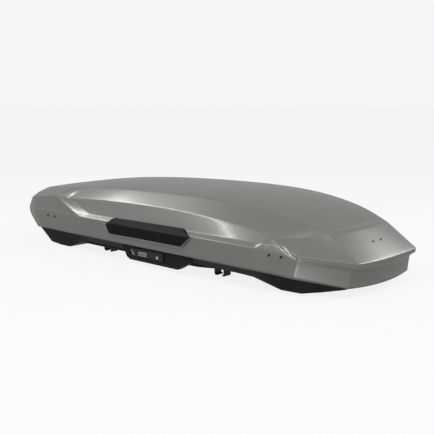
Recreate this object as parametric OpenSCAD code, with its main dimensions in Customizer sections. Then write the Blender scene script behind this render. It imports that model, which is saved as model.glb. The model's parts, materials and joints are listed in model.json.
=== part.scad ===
// Hard-shell roof cargo box that opens from both sides.
// +X is the nose, +Z is up, the origin is on the floor under the middle of the box.

/* [Shell] */
// height of the lid's lower edge above the lowest point of the base
seam_z = 105; // [95:1:120]
// height of the lid above its lower edge, at the shoulder
shoulder_rise = 280; // [240:1:300]
// extra height of the crowned deck over the shoulder
crown_rise = 28; // [10:1:40]
// thickness of the lid's wall
lid_wall = 3.5; // [3:0.5:4]
// thickness of the base's wall
base_wall = 4; // [3:0.5:6]

/* [Hinges and struts] */
// distance of both hinge axes from the middle plane
hinge_y = 430; // [424:1:434]
// distance of both lifting frames from the middle of the box
frame_x = 620; // [600:1:640]
// radius of the hinge pins
pin_r = 4; // [3:0.5:6]
// distance from a hinge axis to each strut pivot
strut_arm = 230; // [200:1:240]
// angle of the lower strut pivot below the seam, at its hinge axis
strut_low = 6; // [3:1:10]
// angle between the two strut pivots, at their hinge axis
strut_spread = 52; // [48:1:60]
// radial clearance of every running fit
fit = 0.05; // [0.02:0.01:0.1]

/* [Locks] */
// travel of each latch rail
latch_travel = 28; // [20:1:32]
// radius of the lock cylinder
lock_r = 9; // [7:0.5:10]

/* [Roof clamps] */
// distance of the front clamps from the middle of the box
clamp_front_x = 402; // [350:1:450]
// distance of the rear clamps from the middle of the box
clamp_rear_x = 472; // [350:1:500]
// distance of the clamps from the middle plane
clamp_y = 300; // [280:1:320]
// how far each clamp slides either way in its slot
clamp_slide = 40; // [20:1:50]
// width of the widest roof bar that the jaws take
bar_width = 52; // [46:1:60]

/* [Hidden] */
$fn = 32;
eps = 0.01;

titan = [0.47, 0.47, 0.47];
black = [0.09, 0.09, 0.095];
dark = [0.16, 0.16, 0.17];
steel = [0.68, 0.69, 0.7];
rubber = [0.05, 0.05, 0.05];

// ---- feature lines of the lid, as heights and half widths along x (in mm) ----
function bend(x, x0, back, front) = let (d = (x - x0) / 1000) d < 0 ? back * d * d : front * d * d;
function shoulder_z(x) = seam_z + shoulder_rise - bend(x, 200, 40, 110) - 110 * pow(max(0, x - 200) / 1000, 4);
function shoulder_y(x) = -340 + 35 * pow(max(0, -x - 300) / 760, 2) + 93 * pow(max(0, x - 100) / 900, 2.5);
function recess_z(x) = seam_z + 213 - bend(x, 0, 43, 66) - 38 * pow(max(0, x) / 1000, 4);

// Corners of each ring of the lid on the near half, from the tail's middle to the nose's middle:
// tail, rear corner, lamp corner, ramp top, ramp foot, recess end, end facet, ridge top, ridge foot,
// nose corner, nose
rim = [[-1075, 0, 92], [-1000, -436, 96], [-945, -446, 100], [-570, -461, 104], [-500, -463, 105],
       [721, -454, 102], [754, -451, 101], [836, -424, 93], [918, -401, 83], [1115, -255, 46], [1142, 0, 38]];
waist = [[-1156, 0, 165], [-1128, -408, 165], [-1010, -448, 165], [-556, -470, 165], [-510, -471, 165],
         [729, -461, 162], [754, -458, 161], [868, -430, 154], [939, -407, 140], [1122, -254, 105],
         [1138, 0, 102]];
belt = [[-1160, 0, 205], [-1134, -404, 207], [-1024, -444, 207], [-545, -475, 211], [-522, -475, 212],
        [736, -465, 209], [756, -462, 208], [907, -434, 200], [955, -412, 174], [1139, -251, 139],
        [1146, 0, 116]];
band = [[-1150, 0, 222], [-1126, -402, 224], [-1026, -438, 219], [-560, -471, 221], [-470, -450, 231],
        [732, -440, 228], [789, -453, 233], [858, -427, 230], [961, -413, 183], [1153, -249, 154],
        [1157, 0, 132]];
recess = [[-1110, 0, 262], [-1112, -396, 262], [-1068, -412, 270], [-807, -432, 305], [-722, -412, 293],
          [755, -400, 264], [779, -427, 252], [819, -420, 252], [962, -413, 191], [1154, -248, 161],
          [1160, 0, 155]];
ridge = [[-1092, 0, 300], [-1090, -360, 295], [-1010, -378, 306], [-770, -390, 0], [-690, -388, 0],
         [767, -360, 298], [789, -387, 285], [830, -409, 252], [914, -322, 258], [1003, -247, 269],
         [1030, 0, 271]];
shoulder_x = [-1066, -1058, -960, -740, -640, 800, 830, 880, 945, 984, 1008];
rings = [rim, waist, belt, band, recess, ridge];
RIM = 0;
RECESS = 4;
RIDGE = 5;

// how many strips lie between neighbouring corners of a ring
arc_steps = 6;
steps = [arc_steps, 1, 4, 1, 14, 1, 2, 2, 3, arc_steps];

function mix(a, b, t) = a + (b - a) * t;
// a point of the tail or nose arc: s runs from 0 in the middle to 1 at the corner
function arc_point(mid, corner, s) = [mix(mid.x, corner.x, s * s), corner.y * s, mix(mid.z, corner.z, s * s)];
function shoulder_point(x) = [x, shoulder_y(x), shoulder_z(x)];
function on_line(p, ring) =
    ring == RECESS && p.x > -722 && p.x < 755 ? [p.x, p.y, recess_z(p.x)] : p;
function ring_corner(ring, i) =
    ring == RIDGE && rings[ring][i].z == 0
    ? mix(ring_corner(RECESS, i), shoulder_point(shoulder_x[i]), 0.35)
    : rings[ring][i];
function ring_point(ring, i, t) =
    i == 0 ? arc_point(ring_corner(ring, 0), ring_corner(ring, 1), t)
    : i == 9 ? arc_point(ring_corner(ring, 10), ring_corner(ring, 9), 1 - t)
    : ring == RIDGE && i == 4
    ? mix(ring_point(RECESS, 4, t), shoulder_point(mix(shoulder_x[4], shoulder_x[5], t)), 0.35)
    : on_line(mix(ring_corner(ring, i), ring_corner(ring, i + 1), t), ring);
function deck_edge(i, t) =
    i == 0 ? arc_point([shoulder_x[0], 0, shoulder_z(-1066) + 10], shoulder_point(shoulder_x[1]), t)
    : i == 9 ? arc_point([shoulder_x[10], 0, shoulder_z(984) + 8], shoulder_point(shoulder_x[9]), 1 - t)
    : shoulder_point(mix(shoulder_x[i], shoulder_x[i + 1], t));

function half_ring(ring) = concat(
    [for (i = [0:9], k = [0:steps[i] - 1]) ring_point(ring, i, k / steps[i])], [ring_point(ring, 9, 1)]);
half_deck_edge = concat(
    [for (i = [0:9], k = [0:steps[i] - 1]) deck_edge(i, k / steps[i])], [deck_edge(9, 1)]);
function flip(p) = [p.x, -p.y, p.z];
function whole_ring(h) = concat(h, [for (i = [len(h) - 2:-1:1]) flip(h[i])]);

// the deck rises from its edge to a broad flat-topped spine
function crown(x, s) = crown_rise * (1 - pow(abs(s), 2.4)) * (1 - pow(abs(x + 30) / 1080, 4));
function across(p, n) = [for (j = [0:n]) let (s = 1 - 2 * j / n) [p.x, p.y * s, p.z + crown(p.x, s)]];
function end_row(h) = let (n = arc_steps) concat([for (j = [n:-1:0]) h[j]], [for (j = [1:n]) flip(h[j])]);
function deck_rows(h) = let (last = len(h) - 1, a = arc_steps) concat(
    [end_row(h)],
    [for (i = [a + 1:last - a - 1]) across(h[i], 2 * a)],
    [let (back = [for (i = [last:-1:last - a]) h[i]]) end_row(back)]);

function inset(p, dx, dy, dz) = [p.x - dx * p.x / 1150, p.y - dy * p.y / 460, p.z - dz];
function flat(lists) = [for (l = lists, p = l) p];

// quads between loops of m points each, starting at point s, as triangles
function loop_faces(s, m, count, turn) = [for (r = [0:count - 2], i = [0:m - 1])
    let (a = s + r * m + i, b = s + r * m + (i + 1) % m)
    each turn ? [[a, b, b + m], [a, b + m, a + m]] : [[a, b + m, b], [a, a + m, b + m]]];
// quads over rows of n points each, as triangles
function grid_faces(s, n, count, turn) = [for (r = [0:count - 2], i = [0:n - 2])
    let (a = s + r * n + i)
    each turn ? [[a, a + 1, a + n + 1], [a, a + n + 1, a + n]] : [[a, a + n + 1, a + 1], [a, a + n, a + n + 1]]];

// a thin shell: loops up its side and a grid over its closed end, outside and inside
module thin_shell(outer, outer_rows, inner, inner_rows) {
    m = len(outer[0]);
    n = len(outer_rows[0]);
    r = len(outer_rows);
    k = len(outer);
    s1 = k * m;
    s2 = s1 + r * n;
    s3 = s2 + k * m;
    edge = [for (i = [0:m - 1]) let (j = (i + 1) % m)
        each [[i, j, s2 + j], [i, s2 + j, s2 + i]]];
    polyhedron(
        points = concat(flat(outer), flat(outer_rows), flat(inner), flat(inner_rows)),
        faces = concat(
            loop_faces(0, m, k, false), grid_faces(s1, n, r, true),
            loop_faces(s2, m, k, true), grid_faces(s3, n, r, false), edge));
}

// ---- base ----
// height of the underside along x: deep ends, and a shallow middle over the roof bars
keel = [[-1030, 84], [-1005, 72], [-893, 4], [-715, 4], [-660, 24], [-615, 50], [-592, 60], [660, 60],
        [832, 14], [945, 12], [1065, 22], [1100, 60]];
function keel_z(x) = lookup(x, keel);
function foot_y(x) = 405 - 60 * pow(max(0, -x - 900) / 130, 2) - 43 * max(0, min(x, 930) - 600) / 330
    - 160 * pow(max(0, x - 930) / 130, 1.2);
edge_inset = 8;
nose_limit = 1100;
nose_edge_z = 72;
function base_edge(h, d, dz) = [for (p = h)
    let (q = inset(p, d * 2.5, d, 0)) [min(q.x, nose_limit - d), q.y, max(p.z, nose_edge_z) + dz]];
function foot_share(p) = max(0, min(1, (p.x - rim[0].x) / (rim[10].x - rim[0].x)));
function foot_side(i, m) = i < arc_steps ? i / arc_steps : i > m - 1 - arc_steps ? (m - 1 - i) / arc_steps : 1;
function foot_loop(h, d, lift) = let (m = len(h)) whole_ring([for (i = [0:m - 1])
    let (x = mix(-1030 + d, 1085 - d, foot_share(h[i])))
    [x, -(foot_y(x) - d) * foot_side(i, m), keel_z(x) + lift]]);
// strips straight across the bottom, from each near point to its mirror image; s is the loop's first point
function bottom_faces(s, n, turn) = let (m = n / 2 + 1) [for (i = [0:m - 2])
    let (a = s + i, b = s + i + 1, c = s + (n - i - 1) % n, d = s + (n - i) % n)
    each i == 0 ? [turn ? [a, c, b] : [a, b, c]]
    : i == m - 2 ? [turn ? [a, d, b] : [a, b, d]]
    : turn ? [[a, c, b], [a, d, c]] : [[a, b, c], [a, c, d]]];
module base_shell() {
    h = half_ring(RIM);
    d = edge_inset + base_wall;
    loops = [whole_ring(base_edge(h, edge_inset, -1)), foot_loop(h, 0, 0),
             whole_ring(base_edge(h, d, -1)), foot_loop(h, base_wall, base_wall)];
    n = len(loops[0]);
    polyhedron(
        points = flat(loops),
        faces = concat(
            loop_faces(0, n, 2, true), bottom_faces(n, n, false),
            loop_faces(2 * n, n, 2, false), bottom_faces(3 * n, n, true),
            [for (i = [0:n - 1]) let (j = (i + 1) % n)
                each [[i, 2 * n + j, j], [i, 2 * n + i, 2 * n + j]]]));
}
// a shallow rail under each long edge of the tray
sill_y0 = 360;
sill_y1 = 398;
sill_z = 42;
module sill() intersection() {
    side_profile([[-sill_y1, 61], [-sill_y1, sill_z + 4], [-sill_y1 + 6, sill_z], [-sill_y0 - 8, sill_z],
                  [-sill_y0, 61]], -640, 520);
    side_outline([[-640, 64], [-600, sill_z], [300, sill_z + 1], [430, 54], [510, 64]], 300, 460);
}

slot_length = 2 * clamp_slide + 110;
slot_width = 26;
function clamp_x(i) = i < 2 ? clamp_front_x : -clamp_rear_x;
function clamp_side(i) = i % 2 == 0 ? -1 : 1;
floor_z = 60 + base_wall;

module each_side(far) {
    if (far) mirror([0, 1, 0]) children();
    else children();
}
module base_tray() color(black) difference() {
    union() {
        base_shell();
        for (far = [false, true]) each_side(far) sill();
    }
    for (i = [0:3]) translate([clamp_x(i), clamp_side(i) * clamp_y, 60])
        cube([slot_length, slot_width, 40], center = true);
    for (far = [false, true]) each_side(far) link_slot();
}

// a closed rubber ring on the rim of the tray
module base_seal() color(rubber) {
    h = half_ring(RIM);
    loops = [for (k = [[9, 0.2], [9, 5.5], [11.5, 5.5], [11.5, 0.2]]) whole_ring(base_edge(h, k[0], k[1] - 1))];
    m = len(loops[0]);
    polyhedron(
        points = flat(loops),
        faces = concat(loop_faces(0, m, 4, false), [for (i = [0:m - 1])
            let (a = 3 * m + i, b = 3 * m + (i + 1) % m) each [[a, (i + 1) % m, b], [a, i, (i + 1) % m]]]));
}

track_gap = 3;
track_width = 16;
track_height = 3;
track_length = slot_length + 24;
module clamp_tracks() color(steel)
    for (i = [0:3], s = [-1, 1])
        translate([clamp_x(i), clamp_side(i) * clamp_y + s * (slot_width / 2 + track_gap + track_width / 2),
                   floor_z + track_height / 2])
            cube([track_length, track_width, track_height], center = true);

module tray_screws() color(steel)
    for (i = [0:3], s = [-1, 1], e = [-1, 1])
        translate([clamp_x(i) + e * (track_length / 2 - 38),
                   clamp_side(i) * clamp_y + s * (slot_width / 2 + track_gap + track_width / 2), 57.5])
            cylinder(r = 4, h = 2.5);

// ---- locks, one on each side ----
lock_face = 446;
lock_bottom = 20;
plate_x0 = -125;
plate_x1 = 122;
plate_z0 = 46;
plate_z1 = 88;
plate_back = 441;
pocket_depth = 6;
link_x = -100;
link_z = 85.5;
lock_z = 62;
lock_x = 81;
module side_profile(points, x0, x1) translate([x0, 0, 0]) rotate([90, 0, 90]) linear_extrude(x1 - x0)
    polygon(points);
module side_outline(points, y0, y1) translate([0, -y0, 0]) rotate([90, 0, 0]) linear_extrude(y1 - y0)
    polygon(points);

module link_slot() translate([link_x - 12, -lock_face + 1, link_z - 3]) cube([latch_travel + 24, 35, 6]);

module lock_housing() color(black) difference() {
    intersection() {
        side_profile([[-lock_face, 94.5], [-lock_face, 34], [-435, lock_bottom], [-402, lock_bottom],
                      [-402, 59.6], [-405.7, 59.6]], -340, 340);
        side_outline([[-200, 100], [-186, 80], [-146, 18], [216, 18], [306, 66], [330, 100]], 380, 460);
    }
    translate([plate_x0 - 1, -lock_face - 1, plate_z0 - 1])
        cube([plate_x1 - plate_x0 + latch_travel + 2, pocket_depth + 1, plate_z1 - plate_z0 + 2]);
    link_slot();
}

module slide_handle() color(dark) difference() {
    union() {
        translate([plate_x0, -lock_face + 0.5, plate_z0])
            cube([plate_x1 - plate_x0, lock_face - 0.5 - plate_back, plate_z1 - plate_z0]);
        translate([link_x - 8, -plate_back - 0.5, link_z - 2]) cube([16, plate_back + 0.5 - rail_y1, 3.5]);
        for (k = [0:3]) translate([100 + 6 * k, -lock_face - 1, plate_z0 + 6])
            cube([3, 2, 26]);
    }
    translate([lock_x, 0, lock_z]) rotate([90, 0, 0]) translate([0, 0, plate_back - 1])
        cylinder(r = lock_r + fit, h = 10);
}
module key_cylinder() color(steel) translate([lock_x, 0, lock_z]) rotate([90, 0, 0]) difference() {
    translate([0, 0, plate_back]) cylinder(r = lock_r, h = 6.5);
    translate([-1, -5, plate_back + 2]) cube([2, 10, 6]);
}
module status_plate() color([0.6, 0.6, 0.6])
    translate([-64, -lock_face - 0.6, 53]) cube([62, 1.1, 22]);

rail_y0 = 414;
rail_y1 = 418;
rail_z0 = 83;
rail_z1 = 104;
rail_half = 480;
striker_z = 122;
striker_r = 4;
striker_x = [-440, 60, 440];
hook_gap = 3;
hook_post = 10;
module latch_rail() color(steel) {
    translate([-rail_half, -rail_y1, rail_z0]) cube([2 * rail_half, rail_y1 - rail_y0, rail_z1 - rail_z0]);
    tip = striker_r + hook_gap;
    reach = latch_travel + tip;
    for (x = striker_x) side_outline([
        [x - reach - hook_post, rail_z1 - eps], [x - reach, rail_z1 - eps], [x - reach, striker_z + striker_r + 1],
        [x - tip, striker_z + striker_r + 1], [x - tip - 3, striker_z + striker_r + 7],
        [x - reach - hook_post, striker_z + striker_r + 7]], rail_y0, rail_y1);
}

// ---- hinges and lifting frames ----
hinge_z = 106;
eye_r = 7;
eye_width = 12;
ear = 5;
ear_gap = 3.5;
frame_width = 16;
frame_thick = 5;
strut_x = 24;
lower = [hinge_y - strut_arm * cos(strut_low), hinge_z - strut_arm * sin(strut_low)];
upper = [hinge_y - strut_arm * cos(strut_spread - strut_low), hinge_z + strut_arm * sin(strut_spread - strut_low)];
frame_places = [frame_x, -frame_x];
function sgn(x) = x < 0 ? -1 : 1;
module pin_bar(x, y, z, length, r) translate([x - length / 2, y, z]) rotate([0, 90, 0])
    cylinder(r = r, h = length);

module base_hinge_brackets() color(steel) for (x = frame_places, s = [-1, 1])
    translate([x + s * (eye_width / 2 + ear_gap + ear / 2) - ear / 2, 0, 0]) difference() {
        union() {
            side_profile([[hinge_y - 6, hinge_z - 2], [hinge_y + 4, hinge_z - 6], [hinge_y - 19, hinge_z - 20],
                          [hinge_y - 42, hinge_z - 20], [hinge_y - 42, hinge_z - 14]], 0, ear);
            pin_bar(ear / 2, hinge_y, hinge_z, ear, eye_r);
        }
        pin_bar(ear / 2, hinge_y, hinge_z, ear + 2, pin_r + fit);
    }
module hinge_pins(side) color(steel) for (x = frame_places)
    pin_bar(x, side * hinge_y, hinge_z, eye_width + 2 * (ear + ear_gap) + 6, pin_r);

// the frame's outline: a hoop under the lid, closed by a bar across the seam
hoop = [[hinge_y - 4, hinge_z + 4], [416, 150], [416, 212], [380, 272], [308, 318], [0, 334]];
hoop_under = 318;
function mirrored(path) = concat(path, [for (i = [len(path) - 2:-1:0]) [-path[i].x, path[i].y]]);
function direction(a, b) = (b - a) / norm(b - a);
function band_side(path, t) = [for (i = [0:len(path) - 1])
    let (a = path[max(0, i - 1)], b = path[min(len(path) - 1, i + 1)], d = direction(a, b))
    path[i] + t / 2 * [-d.y, d.x]];
function backwards(list) = [for (i = [len(list) - 1:-1:0]) list[i]];
module hoop_strip(path, t, x0, x1)
    side_profile(concat(band_side(path, t), backwards(band_side(path, -t))), x0, x1);
bar_z = 114;
module lift_frame(x) color(dark) {
    w = frame_width / 2;
    difference() {
        union() {
            hoop_strip(mirrored(hoop), frame_thick, x - w, x + w);
            translate([x - w, 4 - hinge_y, bar_z]) cube([frame_width, 2 * (hinge_y - 4), 6]);
            for (s = [-1, 1]) pin_bar(x, s * hinge_y, hinge_z, eye_width, eye_r);
            // tab for the upper pivot of one strut and the lower pivot of the other
            side_profile([[upper.x - 9, hoop_under], [upper.x - 9, upper.y - 8], [upper.x + 9, upper.y - 8],
                          [upper.x + 9, hoop_under]], x - 3, x + 3);
            side_profile([[-lower.x - 9, bar_z + 1], [-lower.x - 9, lower.y - 8], [-lower.x + 9, lower.y - 8],
                          [-lower.x + 9, bar_z + 1]], x - 3, x + 3);
        }
        for (s = [-1, 1]) pin_bar(x, s * hinge_y, hinge_z, frame_width + 2, pin_r + fit);
        pin_bar(x, upper.x, upper.y, frame_width, pin_r + fit);
        pin_bar(x, -lower.x, lower.y, frame_width, pin_r + fit);
    }
}
stud_length = 36;
module frame_studs() color(steel) for (x = frame_places, p = [upper, [-lower.x, lower.y]])
    pin_bar(x + sgn(x) * 14, p.x, p.y, stud_length, pin_r);

post_x = 42;
post_lift = 4;
module strut_posts() color(dark) for (x = frame_places) {
    px = x + sgn(x) * post_x;
    floor_here = max(keel_z(px - 6), keel_z(px + 6)) + base_wall + post_lift;
    difference() {
        translate([px - 5, lower.x - 9, floor_here]) cube([10, 18, lower.y + 9 - floor_here]);
        pin_bar(px, lower.x, lower.y, 14, pin_r + fit);
    }
    pin_bar(px - sgn(x) * 10, lower.x, lower.y, 32, pin_r);
}

// ---- struts ----
strut_closed = 2 * strut_arm * sin(strut_spread / 2);
strut_eye_r = 8;
strut_eye_width = 10;
strut_end_gap = 12;
tube_r = 8;
rod_r = 4.5;
// places the strut along +Y from its lower to its upper pivot; strut b is the mirror image
module on_strut(x, b) {
    lean = atan2(upper.y - lower.y, upper.x - lower.x);
    each_side(b) translate([x + sgn(x) * strut_x, lower.x, lower.y]) rotate([lean, 0, 0]) children();
}
module strut_eye() rotate([0, 90, 0]) translate([0, 0, -strut_eye_width / 2])
    cylinder(r = strut_eye_r, h = strut_eye_width);
module strut_hole() pin_bar(0, 0, 0, strut_eye_width + 2, pin_r + fit);
module strut_tube(x, b) color(dark) on_strut(x, b) difference() {
    union() {
        strut_eye();
        rotate([-90, 0, 0]) translate([0, 0, 4]) cylinder(r = tube_r, h = strut_closed - strut_end_gap - 4);
    }
    strut_hole();
    rotate([-90, 0, 0]) translate([0, 0, 10]) cylinder(r = rod_r + fit, h = strut_closed);
}
module strut_rod(x, b) color(steel) on_strut(x, b) translate([0, strut_closed, 0]) difference() {
    union() {
        rotate([0, 90, 0]) translate([0, 0, -strut_eye_width / 2])
            cylinder(r = strut_eye_r, h = strut_eye_width);
        rotate([90, 0, 0]) translate([0, 0, 4]) cylinder(r = rod_r, h = strut_closed - strut_end_gap - 8);
    }
    strut_hole();
}

// ---- lid ----
half_rings = [for (i = [0:len(rings) - 1]) half_ring(i)];
side_drop = [0, 0, 0, 0, 2, 3];
module lid_shell() color(titan) {
    outer = concat([for (h = half_rings) whole_ring(h)], [whole_ring(half_deck_edge)]);
    inner = concat(
        [for (i = [0:len(half_rings) - 1])
            [for (p = whole_ring(half_rings[i])) inset(p, lid_wall + 1, lid_wall, side_drop[i])]],
        [[for (p = whole_ring(half_deck_edge)) inset(p, lid_wall + 1, lid_wall, lid_wall)]]);
    rows = deck_rows(half_deck_edge);
    inner_rows = [for (row = rows) [for (p = row) inset(p, lid_wall + 1, lid_wall, lid_wall)]];
    thin_shell(outer, rows, inner, inner_rows);
}

function inside_z(x, y) = shoulder_z(x) + crown(x, y / shoulder_y(x)) - lid_wall;
rib_places = [-662, -330, 0, 330, 662];
rib_width = 20;
rib_half = 270;
rib_depth = 8;
rib_clear = 5;
module lid_stiffeners() color(dark) for (x = rib_places)
    side_profile(concat(
        [for (y = [-rib_half:30:rib_half]) [y, inside_z(x, y) - rib_clear - rib_depth]],
        [for (y = [rib_half:-30:-rib_half]) [y, inside_z(x, y) - rib_clear]]),
        x - rib_width / 2, x + rib_width / 2);

module lid_strut_brackets() color(steel) for (x = frame_places) {
    px = x + sgn(x) * post_x;
    top = inside_z(px, upper.x) - rib_clear - rib_depth;
    difference() {
        translate([px - 4, -upper.x - 9, upper.y - 9]) cube([8, 18, top - upper.y + 9 - 1]);
        pin_bar(px, -upper.x, upper.y, 14, pin_r + fit);
    }
    pin_bar(px - sgn(x) * 10, -upper.x, upper.y, 32, pin_r);
}

wall_plate_y = 450;
bracket_top = 156;
bracket_foot = 132;
module lid_hinge_brackets() color(steel) for (x = frame_places, s = [-1, 1])
    translate([x + s * (eye_width / 2 + ear_gap + ear / 2) - ear / 2, 0, 0]) difference() {
        union() {
            side_profile([[-hinge_y - 5, hinge_z], [-hinge_y + 5, hinge_z], [-hinge_y + 5, bracket_top],
                          [-wall_plate_y, bracket_top], [-wall_plate_y, bracket_foot + 4],
                          [-hinge_y - 5, bracket_foot]], 0, ear);
            pin_bar(ear / 2, -hinge_y, hinge_z, ear, eye_r);
        }
        pin_bar(ear / 2, -hinge_y, hinge_z, ear + 2, pin_r + fit);
    }

striker_end = 432;
module striker_pins() color(steel) for (far = [false, true], x = striker_x) each_side(far) {
    translate([x, 0, striker_z]) rotate([90, 0, 0]) translate([0, 0, rail_y0 - 4])
        cylinder(r = striker_r, h = striker_end - rail_y0 + 2);
    side_profile([[-striker_end + 10, striker_z - 5], [-striker_end + 10, bracket_top],
                  [-wall_plate_y, bracket_top], [-wall_plate_y, bracket_foot + 8],
                  [-striker_end, bracket_foot], [-striker_end, striker_z - 5]], x - 8, x + 8);
}

// the wide black grip that wraps over the ledge on each side of the lid
grip_outline = [[-290, 196], [-268, 150], [283, 153], [349, 208], [280, 240], [-246, 236]];
module side_grip() color(black) intersection() {
    side_profile([[-470.2, 140], [-475.6, 212.2], [-450.7, 231.5], [-446, 245], [-453, 245],
                  [-484, 207], [-475, 140]], -320, 350);
    side_outline(grip_outline, 440, 490);
}

screw_r = 6;
module screw_head() {
    cylinder(r = screw_r, h = 1.5);
    translate([0, 0, 1.5 - eps]) cylinder(r1 = screw_r, r2 = screw_r - 2.5, h = 1.5);
}
// x, half width, height and turn towards the nose
side_screws = [[-862, 456.2, 183, -3], [-790, 460.0, 183, -3], [819, 448.8, 185, 11], [879, 437.3, 183, 11]];
nose_screws = [-20, 45];
module lid_screws() color(rubber) {
    for (side = [-1, 1], p = side_screws) translate([p.x, side * p.y, p.z])
        rotate([0, 0, -side * p[3]]) rotate([-side * 90, 0, 0]) screw_head();
    for (y = nose_screws) translate([1086, y, 222.5]) rotate([0, 42, 0]) screw_head();
}

// ---- roof clamps ----
head_z0 = 40;
head_z1 = 56;
block_z0 = 67.5;
block_z1 = 95;
jaw_reach = 8;
jaw_thick = 10;
jaw_travel = 10;
shaft_r = 5;
module at_clamp(i) translate([clamp_x(i), clamp_side(i) * clamp_y, 0]) children();
module jaw_outline(top, tongue) rotate([90, 0, 0]) linear_extrude(44, center = true) polygon([
    [bar_width / 2, top], [bar_width / 2 - tongue, top], [bar_width / 2 - tongue, top - 3.5],
    [bar_width / 2, top - 3.5], [bar_width / 2, 10], [bar_width / 2 - jaw_reach, 7],
    [bar_width / 2 - jaw_reach, 0], [bar_width / 2 + 2, 0], [bar_width / 2 + 9, 5],
    [bar_width / 2 + jaw_thick, 14],
    [bar_width / 2 + jaw_thick, top]]);
module clamp_body(i) color(black) at_clamp(i) difference() {
    union() {
        translate([-55, -34, block_z0]) cube([110, 68, block_z1 - block_z0]);
        translate([-30, -10, head_z0 + 1]) cube([60, 20, block_z1 - head_z0 - 2]);
        translate([-46, -28, head_z0]) cube([92, 56, head_z1 - head_z0]);
        jaw_outline(head_z0 + 1, 0.1);
    }
    translate([0, 0, 30]) cylinder(r = shaft_r + fit, h = 80);
}
module clamp_jaw(i) color(dark) at_clamp(i) mirror([1, 0, 0]) jaw_outline(head_z0 - 0.3, 16);
module clamp_knob(i) color(dark) at_clamp(i) {
    translate([0, 0, 44]) cylinder(r = shaft_r, h = block_z1 - 40);
    translate([0, 0, block_z1 + 0.5]) cylinder(r = 20, h = 16);
    for (a = [0:60:300]) rotate(a) translate([20, 0, block_z1 + 0.5]) cylinder(r = 7, h = 14);
}
module clamp_pads(i) color(rubber) at_clamp(i) translate([1, -22, head_z0 - 3.2]) cube([24, 44, 3]);

base_tray();
base_seal();
clamp_tracks();
each_side(false) lock_housing();  // lock_housing_near
each_side(true) lock_housing();  // lock_housing_far
base_hinge_brackets();
hinge_pins(1);  // base_hinge_pins
strut_posts();
tray_screws();
each_side(false) slide_handle();  // slide_handle_near
each_side(true) slide_handle();  // slide_handle_far
each_side(false) latch_rail();  // latch_rail_near
each_side(true) latch_rail();  // latch_rail_far
each_side(false) status_plate();  // status_plate_near
each_side(true) status_plate();  // status_plate_far
each_side(false) key_cylinder();  // key_cylinder_near
each_side(true) key_cylinder();  // key_cylinder_far
lift_frame(frame_x);  // lift_frame_front
lift_frame(-frame_x);  // lift_frame_rear
frame_studs();
lid_shell();
lid_stiffeners();
each_side(false) side_grip();  // side_grip_near
each_side(true) side_grip();  // side_grip_far
lid_screws();
striker_pins();
lid_hinge_brackets();
hinge_pins(-1);  // lid_hinge_pins
lid_strut_brackets();
strut_tube(frame_x, false);  // strut_tube_front_a
strut_rod(frame_x, false);  // strut_rod_front_a
strut_tube(frame_x, true);  // strut_tube_front_b
strut_rod(frame_x, true);  // strut_rod_front_b
strut_tube(-frame_x, false);  // strut_tube_rear_a
strut_rod(-frame_x, false);  // strut_rod_rear_a
strut_tube(-frame_x, true);  // strut_tube_rear_b
strut_rod(-frame_x, true);  // strut_rod_rear_b
clamp_body(0);  // clamp_body_front_near
clamp_jaw(0);  // clamp_jaw_front_near
clamp_knob(0);  // clamp_knob_front_near
clamp_pads(0);  // clamp_pads_front_near
clamp_body(1);  // clamp_body_front_far
clamp_jaw(1);  // clamp_jaw_front_far
clamp_knob(1);  // clamp_knob_front_far
clamp_pads(1);  // clamp_pads_front_far
clamp_body(2);  // clamp_body_rear_near
clamp_jaw(2);  // clamp_jaw_rear_near
clamp_knob(2);  // clamp_knob_rear_near
clamp_pads(2);  // clamp_pads_rear_near
clamp_body(3);  // clamp_body_rear_far
clamp_jaw(3);  // clamp_jaw_rear_far
clamp_knob(3);  // clamp_knob_rear_far
clamp_pads(3);  // clamp_pads_rear_far
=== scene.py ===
"""A hard-shell roof cargo box: a faceted, glossy grey lid on a black tray, built round the CAD frame."""

import json
import math

import bmesh
import bpy
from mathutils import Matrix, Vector


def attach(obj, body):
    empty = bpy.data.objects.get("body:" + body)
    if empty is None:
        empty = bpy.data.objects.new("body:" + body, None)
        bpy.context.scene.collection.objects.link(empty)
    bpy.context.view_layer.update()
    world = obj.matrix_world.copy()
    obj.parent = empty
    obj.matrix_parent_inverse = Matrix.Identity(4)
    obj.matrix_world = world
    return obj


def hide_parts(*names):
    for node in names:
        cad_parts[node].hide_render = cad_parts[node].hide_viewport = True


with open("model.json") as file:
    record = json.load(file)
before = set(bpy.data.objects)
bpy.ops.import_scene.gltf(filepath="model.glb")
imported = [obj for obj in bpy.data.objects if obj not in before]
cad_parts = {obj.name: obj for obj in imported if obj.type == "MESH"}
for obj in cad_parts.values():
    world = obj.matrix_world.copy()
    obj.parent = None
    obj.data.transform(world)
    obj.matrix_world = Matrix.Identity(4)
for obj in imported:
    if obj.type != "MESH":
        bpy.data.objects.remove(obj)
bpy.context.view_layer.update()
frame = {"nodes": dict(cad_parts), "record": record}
NODES = frame["nodes"]

# ---- the lid's feature lines, in metres, in the frame of the CAD lid ----
SEAM_Z = 0.105
SHOULDER_RISE = 0.280
CROWN_RISE = 0.028
LID_WALL = 0.0035
LID_SUBDIVISION = 2

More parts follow.
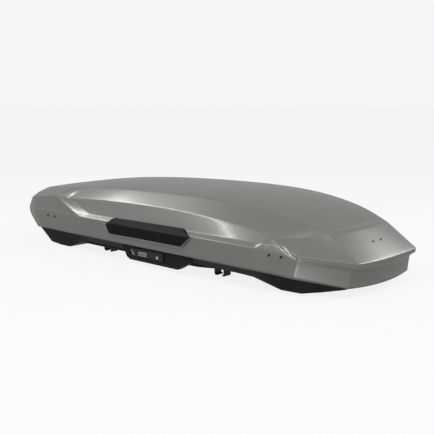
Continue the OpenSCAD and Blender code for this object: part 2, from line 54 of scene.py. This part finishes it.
# Corners of each ring on the near half, from the tail's middle to the nose's middle: tail, rear corner,
# lamp corner, ramp top, ramp foot, recess end, end facet, ridge top, ridge foot, nose corner, nose.
RIM, WAIST, BELT, BAND, RECESS, RIDGE, SHOULDER = range(7)
RING_COUNT = SHOULDER + 1
RINGS = [
    [(-1.075, 0, .092), (-1.000, -.436, .096), (-.945, -.446, .100), (-.570, -.461, .104),
     (-.500, -.463, .105), (.721, -.454, .102), (.754, -.451, .101), (.836, -.424, .093),
     (.918, -.401, .083), (1.115, -.255, .046), (1.142, 0, .038)],
    [(-1.156, 0, .165), (-1.128, -.408, .165), (-1.010, -.448, .165), (-.556, -.470, .165),
     (-.510, -.471, .165), (.729, -.461, .162), (.754, -.458, .161), (.868, -.430, .154),
     (.939, -.407, .140), (1.121, -.254, .103), (1.137, 0, .094)],
    [(-1.160, 0, .205), (-1.134, -.404, .207), (-1.024, -.444, .207), (-.545, -.475, .211),
     (-.522, -.475, .212), (.736, -.465, .209), (.756, -.462, .208), (.907, -.434, .200),
     (.953, -.412, .168), (1.128, -.252, .124), (1.140, 0, .108)],
    [(-1.150, 0, .222), (-1.125, -.402, .223), (-1.027, -.435, .220), (-.560, -.470, .221),
     (-.470, -.450, .231), (.732, -.440, .228), (.789, -.453, .233), (.858, -.427, .230),
     (.960, -.413, .180), (1.157, -.249, .143), (1.161, 0, .129)],
    [(-1.110, 0, .262), (-1.112, -.396, .262), (-1.068, -.412, .270), (-.807, -.432, .305),
     (-.722, -.412, .293), (.755, -.400, .264), (.779, -.427, .252), (.819, -.420, .252),
     (.962, -.413, .192), (1.160, -.248, .163), (1.164, 0, .155)],
    [(-1.092, 0, .300), (-1.090, -.360, .295), (-1.010, -.378, .306), None, None,
     (.767, -.360, .298), (.789, -.387, .285), (.830, -.409, .252), (.914, -.322, .258),
     (1.003, -.247, .269), (1.030, 0, .271)],
]
SHOULDER_X = [-1.066, -1.058, -.960, -.740, -.640, .800, .830, .880, .945, .984, 1.008]
LAST = len(SHOULDER_X) - 1
TAIL_LIFT, NOSE_LIFT = .010, .008

# The straight side between the ramp foot and the recess end, where the recess has its own curve and the
# ridge stands this share of the way from the recess line to the shoulder.
SIDE_SPAN = 4
SIDE_START, SIDE_END = RINGS[RECESS][SIDE_SPAN][0], RINGS[RECESS][SIDE_SPAN + 1][0]
RIDGE_SHARE = .35

# How many quads lie between one corner and the next, and the column each corner ends up in.
ARC_STEPS = 6
STEPS = [ARC_STEPS, 1, 4, 1, 14, 1, 2, 2, 3, ARC_STEPS]
CORNERS = [sum(STEPS[:i]) for i in range(len(STEPS) + 1)]
TAIL, REAR, LAMP, RAMP_TOP, RAMP_FOOT, END, FACET, RIDGE_TOP, RIDGE_FOOT, NOSE_CORNER, NOSE = CORNERS


def bend(x, x0, back, front):
    d = x - x0
    return (back if d < 0 else front) * d * d


def shoulder_z(x):
    return SEAM_Z + SHOULDER_RISE - bend(x, .2, .040, .110) - .110 * max(0, x - .2) ** 4


def shoulder_y(x):
    return -.340 + .035 * (max(0, -x - .3) / .76) ** 2 + .093 * (max(0, x - .1) / .9) ** 2.5


def recess_z(x):
    return SEAM_Z + .213 - bend(x, 0, .043, .066) - .038 * max(0, x) ** 4


def shoulder_point(x):
    return Vector((x, shoulder_y(x), shoulder_z(x)))


def arc_point(mid, corner, s):
    mid, corner = Vector(mid), Vector(corner)
    return Vector((mid.x + (corner.x - mid.x) * s * s, corner.y * s, mid.z + (corner.z - mid.z) * s * s))


def ring_corner(ring, i):
    if ring == SHOULDER:
        if i == 0:
            return Vector((SHOULDER_X[0], 0, shoulder_z(SHOULDER_X[0]) + TAIL_LIFT))
        if i == LAST:
            return Vector((SHOULDER_X[LAST], 0, shoulder_z(SHOULDER_X[LAST - 1]) + NOSE_LIFT))
        return shoulder_point(SHOULDER_X[i])
    if RINGS[ring][i] is None:
        return ring_corner(RECESS, i).lerp(shoulder_point(SHOULDER_X[i]), RIDGE_SHARE)
    return Vector(RINGS[ring][i])


def ring_point(ring, i, t):
    """The point a fraction t of the way from corner i to the next one of a ring."""
    if i == 0:
        return arc_point(ring_corner(ring, 0), ring_corner(ring, 1), t)
    if i == LAST - 1:
        return arc_point(ring_corner(ring, LAST), ring_corner(ring, LAST - 1), 1 - t)
    above = shoulder_point(SHOULDER_X[i] + (SHOULDER_X[i + 1] - SHOULDER_X[i]) * t)
    if ring == SHOULDER:
        return above
    if ring == RIDGE and i == SIDE_SPAN:
        return ring_point(RECESS, i, t).lerp(above, RIDGE_SHARE)
    p = ring_corner(ring, i).lerp(ring_corner(ring, i + 1), t)
    if ring == RECESS and SIDE_START < p.x < SIDE_END:
        p.z = recess_z(p.x)
    return p


def half_ring(ring):
    points = [ring_point(ring, i, k / STEPS[i]) for i in range(LAST) for k in range(STEPS[i])]
    return points + [ring_point(ring, LAST - 1, 1)]


def flip(p):
    return Vector((p.x, -p.y, p.z))


def crown(x, s):
    return CROWN_RISE * (1 - abs(s) ** 2.4) * (1 - abs((x + .03) / 1.08) ** 4)


# Where a ring or a column is a feature line: spans of the other index, each with the radius the line is
# rounded to.
RING_EDGES = {
    BELT: [(REAR, LAMP, .006), (RAMP_TOP, END, .007), (RIDGE_FOOT, NOSE, .004)],
    BAND: [(REAR, FACET, .005), (FACET, NOSE, .003)],
    RECESS: [(REAR, LAMP, .004), (LAMP, END, .010), (END, NOSE, .004)],
    RIDGE: [(RIDGE_TOP, NOSE, .005)],
    SHOULDER: [(TAIL, REAR, .014), (REAR, NOSE, .008)],
}
COLUMN_EDGES = {
    REAR: [(RIM, SHOULDER, .005)],
    LAMP: [(BAND, RECESS, .004)],
    RAMP_TOP: [(BELT, RECESS, .004)],
    RAMP_FOOT: [(BELT, RECESS, .004)],
    END: [(BELT, RECESS, .003)],
    FACET: [(BELT, RIDGE, .003)],
    RIDGE_TOP: [(BAND, RIDGE, .004)],
    RIDGE_FOOT: [(RIM, RECESS, .009)],
    NOSE_CORNER: [(RIM, SHOULDER, .006)],
}
SOFT_SHARE = .42
SUPPORT_OFFSET = .05


def with_supports(points, positions, edges, other):
    """Points on a line, with one more close by on each side of every feature line that crosses it."""
    out, places = [], []
    last = len(points) - 1
    for i, (p, place) in enumerate(zip(points, positions)):
        if place not in edges:
            out.append(p)
            places.append(place)
            continue
        radius = min((r for a, b, r in edges[place] if a <= other <= b), default=1)
        for step in (-1, 0, 1):
            if 0 <= i + step <= last:
                q = points[i + step]
                share = 0 if step == 0 else min(SOFT_SHARE, radius / max((q - p).length, 1e-6))
                out.append(p.lerp(q, share))
                places.append(place + step * SUPPORT_OFFSET)
    return out, places


def skin_grid():
    """The near half of the sides, from rim to shoulder, one list per ring; and the index of each column."""
    rings = []
    for ring in range(RING_COUNT):
        points, columns = with_supports(half_ring(ring), range(NOSE + 1), COLUMN_EDGES, ring)
        rings.append(points)
    grid = []
    for k, column in enumerate(columns):
        points, _ = with_supports([line[k] for line in rings], range(RING_COUNT), RING_EDGES, column)
        grid.append(points)
    return [list(line) for line in zip(*grid)], columns


def lid_mesh():
    """The lid's outer skin as quads, with support loops that keep its feature lines crisp."""
    bm = bmesh.new()
    lines, columns = skin_grid()
    loops = []
    for half in lines:
        points = half + [flip(p) for p in reversed(half[1:-1])]
        loops.append([bm.verts.new(p) for p in points])
    m = len(loops[0])
    for low, high in zip(loops, loops[1:]):
        for i in range(m):
            bm.faces.new((low[i], low[(i + 1) % m], high[(i + 1) % m], high[i]))
    top, a, last = loops[-1], columns.index(REAR), len(columns) - 1
    shares = [top[i].co.y / top[a].co.y for i in range(a, 0, -1)]
    shares = shares + [0] + [-share for share in reversed(shares)]
    rows = [[top[i] for i in range(a, -1, -1)] + [top[m - i] for i in range(1, a + 1)]]
    for i in range(a + 1, last - a):
        p = top[i].co
        inner = [bm.verts.new((p.x, p.y * s, p.z + crown(p.x, s))) for s in shares[1:-1]]
        rows.append([top[i]] + inner + [top[m - i]])
    rows.append([top[i] for i in range(last - a, last + 1)]
                + [top[m - i] for i in range(last - 1, last - a - 1, -1)])
    for back, front in zip(rows, rows[1:]):
        for j in range(2 * a):
            bm.faces.new((back[j], front[j], front[j + 1], back[j + 1]))
    bm.normal_update()
    for face in bm.faces:
        face.smooth = True
    mesh = bpy.data.meshes.new("lid_skin")
    bm.to_mesh(mesh)
    bm.free()
    return mesh


# ---- materials ----
def new_material(name):
    mat = bpy.data.materials.new(name)
    mat.use_nodes = True
    return mat, mat.node_tree.nodes, mat.node_tree.links, mat.node_tree.nodes["Principled BSDF"]


def noise(nodes, links, scale, detail=2.0, rough=0.5):
    coords = nodes.new("ShaderNodeTexCoord")
    texture = nodes.new("ShaderNodeTexNoise")
    texture.inputs["Scale"].default_value = scale
    texture.inputs["Detail"].default_value = detail
    texture.inputs["Roughness"].default_value = rough
    links.new(coords.outputs["Object"], texture.inputs["Vector"])
    return texture


def ramp(nodes, links, source, low, high, start=0.3, end=0.7):
    node = nodes.new("ShaderNodeValToRGB")
    node.color_ramp.elements[0].position = start
    node.color_ramp.elements[0].color = (*low, 1)
    node.color_ramp.elements[1].position = end
    node.color_ramp.elements[1].color = (*high, 1)
    links.new(source, node.inputs["Fac"])
    return node


def bump(nodes, links, source, shader, strength, distance):
    node = nodes.new("ShaderNodeBump")
    node.inputs["Strength"].default_value = strength
    node.inputs["Distance"].default_value = distance
    links.new(source, node.inputs["Height"])
    links.new(node.outputs["Normal"], shader.inputs["Normal"])


def titan_plastic():
    """Metallic-pigmented, glossy capped plastic: fine flakes under a clear skin, with a faint orange peel."""
    mat, nodes, links, shader = new_material("titan_plastic")
    flakes = noise(nodes, links, 900, 1)
    tone = ramp(nodes, links, flakes.outputs["Fac"], (.200, .198, .195), (.250, .248, .244), .35, .65)
    links.new(tone.outputs["Color"], shader.inputs["Base Color"])
    shader.inputs["Metallic"].default_value = .45
    shader.inputs["Roughness"].default_value = .38
    shader.inputs["Coat Weight"].default_value = .7
    shader.inputs["Coat Roughness"].default_value = .16
    peel = noise(nodes, links, 260, 2)
    bump(nodes, links, peel.outputs["Fac"], shader, .03, .001)
    return mat


def moulded(name, dark, light, roughness, grain=700, depth=.0004, specular=.4):
    """Moulded plastic with a fine eroded grain and slightly uneven sheen."""
    mat, nodes, links, shader = new_material(name)
    blotches = noise(nodes, links, 14, 4)
    tone = ramp(nodes, links, blotches.outputs["Fac"], dark, light)
    links.new(tone.outputs["Color"], shader.inputs["Base Color"])
    grains = noise(nodes, links, grain, 2)
    rough = nodes.new("ShaderNodeMapRange")
    rough.inputs["To Min"].default_value = roughness - .07
    rough.inputs["To Max"].default_value = roughness + .07
    links.new(grains.outputs["Fac"], rough.inputs["Value"])
    links.new(rough.outputs["Result"], shader.inputs["Roughness"])
    shader.inputs["Specular IOR Level"].default_value = specular
    bump(nodes, links, grains.outputs["Fac"], shader, .25, depth)
    return mat


def metal(name, tint, roughness, stretch):
    """Bare or plated metal, brushed along X, with faint cloudy wear."""
    mat, nodes, links, shader = new_material(name)
    coords = nodes.new("ShaderNodeTexCoord")
    mapping = nodes.new("ShaderNodeMapping")
    mapping.inputs["Scale"].default_value = (stretch, 900, 900)
    lines = nodes.new("ShaderNodeTexNoise")
    lines.inputs["Scale"].default_value = 1
    links.new(coords.outputs["Object"], mapping.inputs["Vector"])
    links.new(mapping.outputs["Vector"], lines.inputs["Vector"])
    cloud = noise(nodes, links, 30, 3)
    tone = ramp(nodes, links, cloud.outputs["Fac"], tuple(.86 * c for c in tint), tint)
    links.new(tone.outputs["Color"], shader.inputs["Base Color"])
    shader.inputs["Metallic"].default_value = 1
    rough = nodes.new("ShaderNodeMapRange")
    rough.inputs["To Min"].default_value = roughness - .08
    rough.inputs["To Max"].default_value = roughness + .10
    links.new(lines.outputs["Fac"], rough.inputs["Value"])
    links.new(rough.outputs["Result"], shader.inputs["Roughness"])
    bump(nodes, links, lines.outputs["Fac"], shader, .05, .0002)
    return mat


TITAN = titan_plastic()
BASE_BLACK = moulded("base_black", (.005, .005, .006), (.009, .009, .010), .55, 500, .0004, .22)
GRIP_BLACK = moulded("grip_black", (.005, .005, .006), (.008, .008, .009), .42, 800, .0002, .10)
FITTING = moulded("fitting_black", (.014, .014, .015), (.020, .020, .022), .45, 600)
RUBBER = moulded("seal_rubber", (.012, .012, .012), (.018, .018, .018), .75, 900)
PLATE_GREY = moulded("plate_grey", (.25, .25, .25), (.31, .31, .31), .40, 900, .0001)
WINDOW_GREY = moulded("window_grey", (.11, .11, .11), (.14, .14, .14), .30, 900, .0001)
FRAME_DARK = metal("frame_dark", (.06, .06, .065), .45, 60)
STEEL = metal("zinc_steel", (.62, .62, .60), .34, 12)
CHROME = metal("lock_chrome", (.80, .80, .80), .16, 40)
SLOTS = {"lid_titan": TITAN, "rubber": RUBBER, "grip_black": GRIP_BLACK, "plate_grey": PLATE_GREY,
         "lock_chrome": CHROME, "base_black": BASE_BLACK, "fitting_black": FITTING,
         "frame_dark": FRAME_DARK, "steel": STEEL}


def paint_nodes():
    """Every CAD node that shows gets its own procedural material in place of the plain one."""
    for row in frame["record"]["subparts"]:
        obj = NODES[row["node"]]
        mat = SLOTS[row["material_slot"]]
        if not obj.material_slots:
            obj.data.materials.append(mat)
        for material_slot in obj.material_slots:
            material_slot.material = mat


def add_piece(name, mesh, mat, body):
    obj = bpy.data.objects.new(name, mesh)
    bpy.context.scene.collection.objects.link(obj)
    mesh.materials.append(mat)
    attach(obj, body)
    return obj


def build_lid():
    lid = add_piece("lid_skin", lid_mesh(), TITAN, "lid")
    smooth = lid.modifiers.new("smooth", "SUBSURF")
    smooth.levels = smooth.render_levels = LID_SUBDIVISION
    wall = lid.modifiers.new("wall", "SOLIDIFY")
    wall.thickness = LID_WALL
    wall.offset = -1
    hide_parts("lid_shell")


# ---- fittings: the CAD shapes with moulded, rounded edges ----
BODY_OF = {node: body for body, names in frame["record"]["behaviour"]["bodies"].items() for node in names}
SLOT_OF = {row["node"]: row["material_slot"] for row in frame["record"]["subparts"]}
ROUNDS = {"side_grip": .0025, "lock_housing": .003, "slide_handle": .0016, "clamp_body": .0025,
          "clamp_jaw": .003, "clamp_knob": .0015, "clamp_pads": .001, "lift_frame": .0012,
          "strut_posts": .0012, "base_hinge_brackets": .0012, "lid_hinge_brackets": .0012,
          "lid_strut_brackets": .0012, "lid_stiffeners": .0012, "latch_rail": .0006,
          "base_tray": .004, "key_cylinder": .0006, "status_plate": .0004, "strut_tube": .0008,
          "clamp_tracks": .0005, "striker_pins": .0008}


MERGE_DISTANCE = 2e-5
FLAT_ANGLE = math.radians(.5)
SHARP_ANGLE = math.radians(24)


def merged_mesh(node):
    """A CAD node's mesh in place, with doubled points merged and flat areas joined, ready to bevel."""
    source = NODES[node]
    bm = bmesh.new()
    bm.from_mesh(source.data)
    bm.transform(source.matrix_world)
    bmesh.ops.remove_doubles(bm, verts=bm.verts, dist=MERGE_DISTANCE)
    bmesh.ops.dissolve_limit(bm, angle_limit=FLAT_ANGLE, verts=bm.verts, edges=bm.edges)
    for face in bm.faces:
        face.smooth = True
    for edge in bm.edges:
        edge.smooth = edge.calc_face_angle(0) < SHARP_ANGLE
    mesh = bpy.data.meshes.new(node + "_moulded")
    bm.to_mesh(mesh)
    bm.free()
    return mesh


def build_fittings():
    for node in NODES:
        width = next((w for start, w in ROUNDS.items() if node.startswith(start)), None)
        if width is None:
            continue
        piece = add_piece(node + "_moulded", merged_mesh(node), SLOTS[SLOT_OF[node]], BODY_OF[node])
        rounds = piece.modifiers.new("rounds", "BEVEL")
        rounds.limit_method = "ANGLE"
        rounds.angle_limit = SHARP_ANGLE
        rounds.width = width
        rounds.segments = 2
        rounds.harden_normals = True
        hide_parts(node)


# The lid's edge round the grip, from the upper left corner down and along the bottom.
GRIP_EDGE = [(-.232, -.4600, .238), (-.292, -.4775, .198), (-.267, -.4755, .1475), (.283, -.4755, .1505),
             (.351, -.476, .208)]
EDGE_RADIUS = .0022


def tube_mesh(name, path, radius, sides=10):
    """A closed round bar along a path of points, mitred at its bends."""
    bm = bmesh.new()
    points = [Vector(p) for p in path]
    rings = []
    for i, p in enumerate(points):
        before = (p - points[i - 1]).normalized() if i else (points[1] - p).normalized()
        after = (points[i + 1] - p).normalized() if i + 1 < len(points) else before
        along = (before + after).normalized()
        out = Vector((0, 1, 0)) if p.y > 0 else Vector((0, -1, 0))
        side = along.cross(out).normalized()
        out = side.cross(along)
        widen = 1 / max(.5, along.dot(after))
        turns = [2 * math.pi * k / sides for k in range(sides)]
        rings.append([bm.verts.new(p + side * math.cos(a) * radius * widen + out * math.sin(a) * radius)
                      for a in turns])
    for ring, following in zip(rings, rings[1:]):
        for k in range(sides):
            bm.faces.new((ring[k], ring[(k + 1) % sides], following[(k + 1) % sides], following[k]))
    bm.faces.new(rings[0])
    bm.faces.new(rings[-1])
    bmesh.ops.recalc_face_normals(bm, faces=bm.faces)
    for face in bm.faces:
        face.smooth = len(face.verts) == 4
    mesh = bpy.data.meshes.new(name)
    bm.to_mesh(mesh)
    bm.free()
    return mesh


def build_grip_edges():
    for name, side in (("near", 1), ("far", -1)):
        path = [(x, y * side, z) for x, y, z in GRIP_EDGE]
        mesh = tube_mesh("grip_edge_" + name, path, EDGE_RADIUS)
        add_piece("grip_edge_" + name, mesh, TITAN, "lid")


def plate_mesh(name, outline, y0, y1):
    """A thin upright plate with the given (x, z) outline between two y planes."""
    bm = bmesh.new()
    loops = [[bm.verts.new((x, y, z)) for x, z in outline] for y in (y0, y1)]
    bm.faces.new(loops[0])
    bm.faces.new(loops[1])
    for i in range(len(outline)):
        j = (i + 1) % len(outline)
        bm.faces.new((loops[0][i], loops[0][j], loops[1][j], loops[1][i]))
    bmesh.ops.recalc_face_normals(bm, faces=bm.faces)
    mesh = bpy.data.meshes.new(name)
    bm.to_mesh(mesh)
    bm.free()
    return mesh


# A slanted pale mark on each latch handle, and the darker window in its panel.
SLANT = [(-.126, .080), (-.118, .080), (-.096, .052), (-.106, .052)]
WINDOW = [(-.057, .068), (-.057, .058), (-.010, .058), (-.010, .068)]
MARK_DEPTH = .002
WINDOW_DEPTH, WINDOW_PROUD = .001, .0003


def build_marks():
    for name, side in (("near", -1), ("far", 1)):
        panel = NODES["status_plate_" + name]
        face = max(abs((panel.matrix_world @ Vector(c)).y) for c in panel.bound_box)
        body = BODY_OF["status_plate_" + name]
        mark = plate_mesh("slant_mark", SLANT, side * (face - MARK_DEPTH), side * face)
        add_piece("slant_mark_" + name, mark, PLATE_GREY, body)
        window = plate_mesh("panel_window", WINDOW, side * (face - WINDOW_DEPTH),
                            side * (face + WINDOW_PROUD))
        add_piece("panel_window_" + name, window, WINDOW_GREY, body)


# ---- stage, lights and camera ----
# Name, place, what it faces, width, height and watts. They are placed for the view of build_camera;
# low_bounce stands under the floor, which only the camera sees.
LIGHTS = [
    ("strip_left", (-3.5, -2.2, 3.45), (0, -.3, .25), 3.6, .3, 52),
    ("strip_near", (1.9, -2.65, 3.95), (.9, -.3, .2), 3.6, .5, 95),
    ("strip_nose", (3.3, 3.4, 2.9), (1.0, 0, .15), 3.0, .5, 80),
    ("low_bounce", (1.85, -2.4, -1.8), (.95, -.41, .12), .5, 1.4, 10),
    ("strip_corner", (1.49, -4.87, .6), (.95, -.41, .15), .35, 1.1, 30),
]
WORLD_STRENGTH = .40


def area_light(name, place, target, width, height, power):
    data = bpy.data.lights.new(name, "AREA")
    data.shape = "RECTANGLE"
    data.size, data.size_y = width, height
    data.energy = power
    obj = bpy.data.objects.new(name, data)
    obj.location = place
    obj.rotation_euler = (Vector(target) - Vector(place)).to_track_quat("-Z", "Y").to_euler()
    bpy.context.scene.collection.objects.link(obj)


def camera_only(obj):
    """Seen by the camera, but neither lighting nor mirrored in the object."""
    obj.visible_diffuse = False
    obj.visible_glossy = False
    obj.visible_shadow = False


def add_surround(name, bm, z, shade, roughness, glow):
    """A pale, self-lit surface round the object: the floor or the backdrop."""
    mesh = bpy.data.meshes.new(name)
    bm.to_mesh(mesh)
    bm.free()
    obj = bpy.data.objects.new(name, mesh)
    obj.location.z = z
    bpy.context.scene.collection.objects.link(obj)
    mat, _, _, shader = new_material(name)
    shader.inputs["Base Color"].default_value = (shade, shade, shade, 1)
    shader.inputs["Roughness"].default_value = roughness
    shader.inputs["Specular IOR Level"].default_value = 0
    shader.inputs["Emission Color"].default_value = (1, 1, 1, 1)
    shader.inputs["Emission Strength"].default_value = glow
    mesh.materials.append(mat)
    camera_only(obj)
    return obj


def build_backdrop():
    bm = bmesh.new()
    bmesh.ops.create_uvsphere(bm, u_segments=48, v_segments=24, radius=55)
    backdrop = add_surround("backdrop", bm, -6, 0, .5, .92)


def build_stage():
    bm = bmesh.new()
    bmesh.ops.create_grid(bm, x_segments=1, y_segments=1, size=60)
    floor = add_surround("floor", bm, -.002, .10, .9, .86)
    world = bpy.data.worlds.new("studio")
    world.use_nodes = True
    world.node_tree.nodes["Background"].inputs["Color"].default_value = (1, 1, 1, 1)
    world.node_tree.nodes["Background"].inputs["Strength"].default_value = WORLD_STRENGTH
    bpy.context.scene.world = world
    bpy.context.scene.view_settings.view_transform = "Standard"
    bpy.context.scene.view_settings.look = "None"


AZIMUTH, ELEVATION = math.radians(43.246), math.radians(9.209)
DISTANCE = 4.2
LENS, SENSOR = 63.3, 36
TARGET = Vector((.082, 0, .222))


def build_camera():
    back = Vector((math.sin(AZIMUTH) * math.cos(ELEVATION), -math.cos(AZIMUTH) * math.cos(ELEVATION),
                   math.sin(ELEVATION)))
    data = bpy.data.cameras.new("camera")
    data.lens = LENS
    data.sensor_width = SENSOR
    camera = bpy.data.objects.new("camera", data)
    camera.location = TARGET + back * DISTANCE
    camera.rotation_euler = (-back).to_track_quat("-Z", "Y").to_euler()
    bpy.context.scene.collection.objects.link(camera)
    bpy.context.scene.camera = camera


paint_nodes()
build_lid()
build_fittings()
build_grip_edges()
build_marks()
build_stage()
build_backdrop()
build_camera()
for light in LIGHTS:
    area_light(*light)
